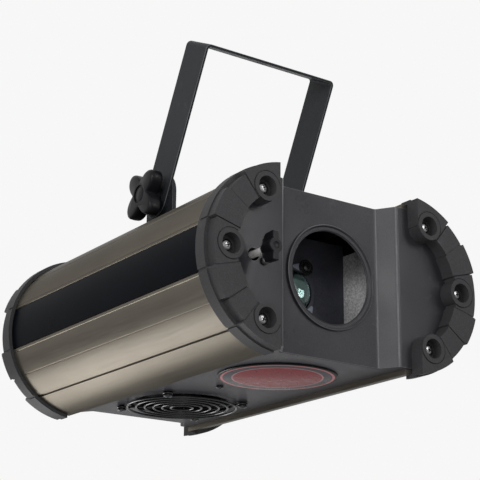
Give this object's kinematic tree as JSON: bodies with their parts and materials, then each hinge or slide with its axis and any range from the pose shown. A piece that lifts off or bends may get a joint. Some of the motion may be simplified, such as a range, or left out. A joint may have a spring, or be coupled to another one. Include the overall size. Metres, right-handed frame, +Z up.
{
  "type": "flame effect light",
  "caption": "Hanging projector that casts moving fire: half round side profiles, four screwed end caps, folded front with a lens window, tilting yoke and a fan grille below.",
  "frame": {"origin": "below the middle of the light, on the surface that the four end caps stand on", "axes": "+Z up, -Y the way the light shines, +X to the right as seen from the front"},
  "size_m": [0.2814, 0.3856, 0.3229],
  "materials": {
    "champagne_aluminium": "satin anodised",
    "band_black": "glossy strip",
    "cap_plastic": "moulded, slightly glossy",
    "panel_paint": "satin powder coat",
    "yoke_paint": "satin powder coat",
    "black_plastic": "moulded",
    "zinc_steel": "zinc plated",
    "galvanised_sheet": "galvanised",
    "transformer_iron": "varnished laminations",
    "mirror_silver": "polished",
    "clear_glass": "clear",
    "badge_print": "printed disc",
    "white_ceramic": "ceramic",
    "coil_copper": "varnished winding",
    "board_green": "solder resist",
    "rocker_red": "translucent"
  },
  "bodies": {
    "housing": {"badge_disc": "badge_print", "bottom_plate": "panel_paint", "chassis": "galvanised_sheet", "circuit_board": "board_green", "condenser_lens": "clear_glass", "data_in_socket": "black_plastic", "data_out_socket": "black_plastic", "fan_frame": "black_plastic", "fan_guard": "zinc_steel", "flame_motor": "galvanised_sheet", "front_left_cap": "cap_plastic", "front_panel": "panel_paint", "front_right_cap": "cap_plastic", "fuse_holder": "black_plastic", "heat_glass": "clear_glass", "lamp": "clear_glass", "lamp_cradle": "galvanised_sheet", "lamp_holder": "white_ceramic", "lamp_reflector": "mirror_silver", "left_lower_cap_screw": "zinc_steel", "left_middle_cap_screw": "zinc_steel", "left_side_band": "band_black", "left_side_profile": "champagne_aluminium", "left_upper_cap_screw": "zinc_steel", "left_yoke_ear": "yoke_paint", "lens_box": "panel_paint", "lens_trim_ring": "panel_paint", "lower_guide_rod": "zinc_steel", "mains_inlet": "black_plastic", "rear_left_cap": "cap_plastic", "rear_panel": "panel_paint", "rear_right_cap": "cap_plastic", "right_lower_cap_screw": "zinc_steel", "right_middle_cap_screw": "zinc_steel", "right_side_band": "band_black", "right_side_profile": "champagne_aluminium", "right_upper_cap_screw": "zinc_steel", "right_yoke_ear": "yoke_paint", "ripple_motor": "galvanised_sheet", "safety_eye": "zinc_steel", "switch_frame": "black_plastic", "top_plate": "panel_paint", "transformer_coil": "coil_copper", "transformer_core": "transformer_iron", "upper_guide_rod": "zinc_steel"},
    "yoke_body": {"yoke": "yoke_paint"},
    "left_knob": {"left_yoke_knob": "black_plastic"},
    "right_knob": {"right_yoke_knob": "black_plastic"},
    "focus_slider": {"lens_carrier": "galvanised_sheet", "objective_lens": "clear_glass", "lens_clip_ring": "zinc_steel", "focus_rod": "zinc_steel", "focus_knob": "black_plastic"},
    "flame_rotor": {"flame_wheel": "galvanised_sheet", "flame_wheel_hub": "black_plastic"},
    "ripple_rotor": {"ripple_wheel": "clear_glass", "ripple_wheel_hub": "black_plastic"},
    "fan_rotor": {"fan_impeller": "black_plastic"},
    "rocker": {"power_rocker": "rocker_red"},
    "fuse_carrier": {"fuse_cap": "black_plastic"}
  },
  "joints": [
    {"name": "yoke_tilt", "type": "hinge", "parent": "housing", "child": "yoke_body", "pos_m": [0, 0.01925, 0.18171], "axis": [1, 0, 0], "range_deg": [-115, 62]},
    {"name": "left_knob_turn", "type": "hinge", "parent": "housing", "child": "left_knob", "pos_m": [-0.08, 0.01925, 0.18171], "axis": [-1, 0, 0], "continuous": true},
    {"name": "right_knob_turn", "type": "hinge", "parent": "housing", "child": "right_knob", "pos_m": [0.08, 0.01925, 0.18171], "axis": [1, 0, 0], "continuous": true},
    {"name": "focus_slide", "type": "slide", "parent": "housing", "child": "focus_slider", "axis": [0, 1, 0], "range_m": [-0.013, 0.007]},
    {"name": "flame_wheel_spin", "type": "hinge", "parent": "housing", "child": "flame_rotor", "pos_m": [0.045, -0.07175, 0.07871], "axis": [0, 1, 0], "continuous": true},
    {"name": "ripple_wheel_spin", "type": "hinge", "parent": "housing", "child": "ripple_rotor", "pos_m": [-0.045, -0.06425, 0.07871], "axis": [0, 1, 0], "continuous": true},
    {"name": "fan_spin", "type": "hinge", "parent": "housing", "child": "fan_rotor", "pos_m": [0, 0.08155, 0.01871], "axis": [0, 0, 1], "continuous": true},
    {"name": "power_switch_rock", "type": "hinge", "parent": "housing", "child": "rocker", "pos_m": [-0.037, 0.16085, 0.04671], "axis": [1, 0, 0], "range_deg": [0, 16]},
    {"name": "fuse_cap_turn", "type": "hinge", "parent": "housing", "child": "fuse_carrier", "pos_m": [-0.016, 0.16285, 0.04671], "axis": [0, 1, 0], "range_deg": [0, 90]}
  ]
}
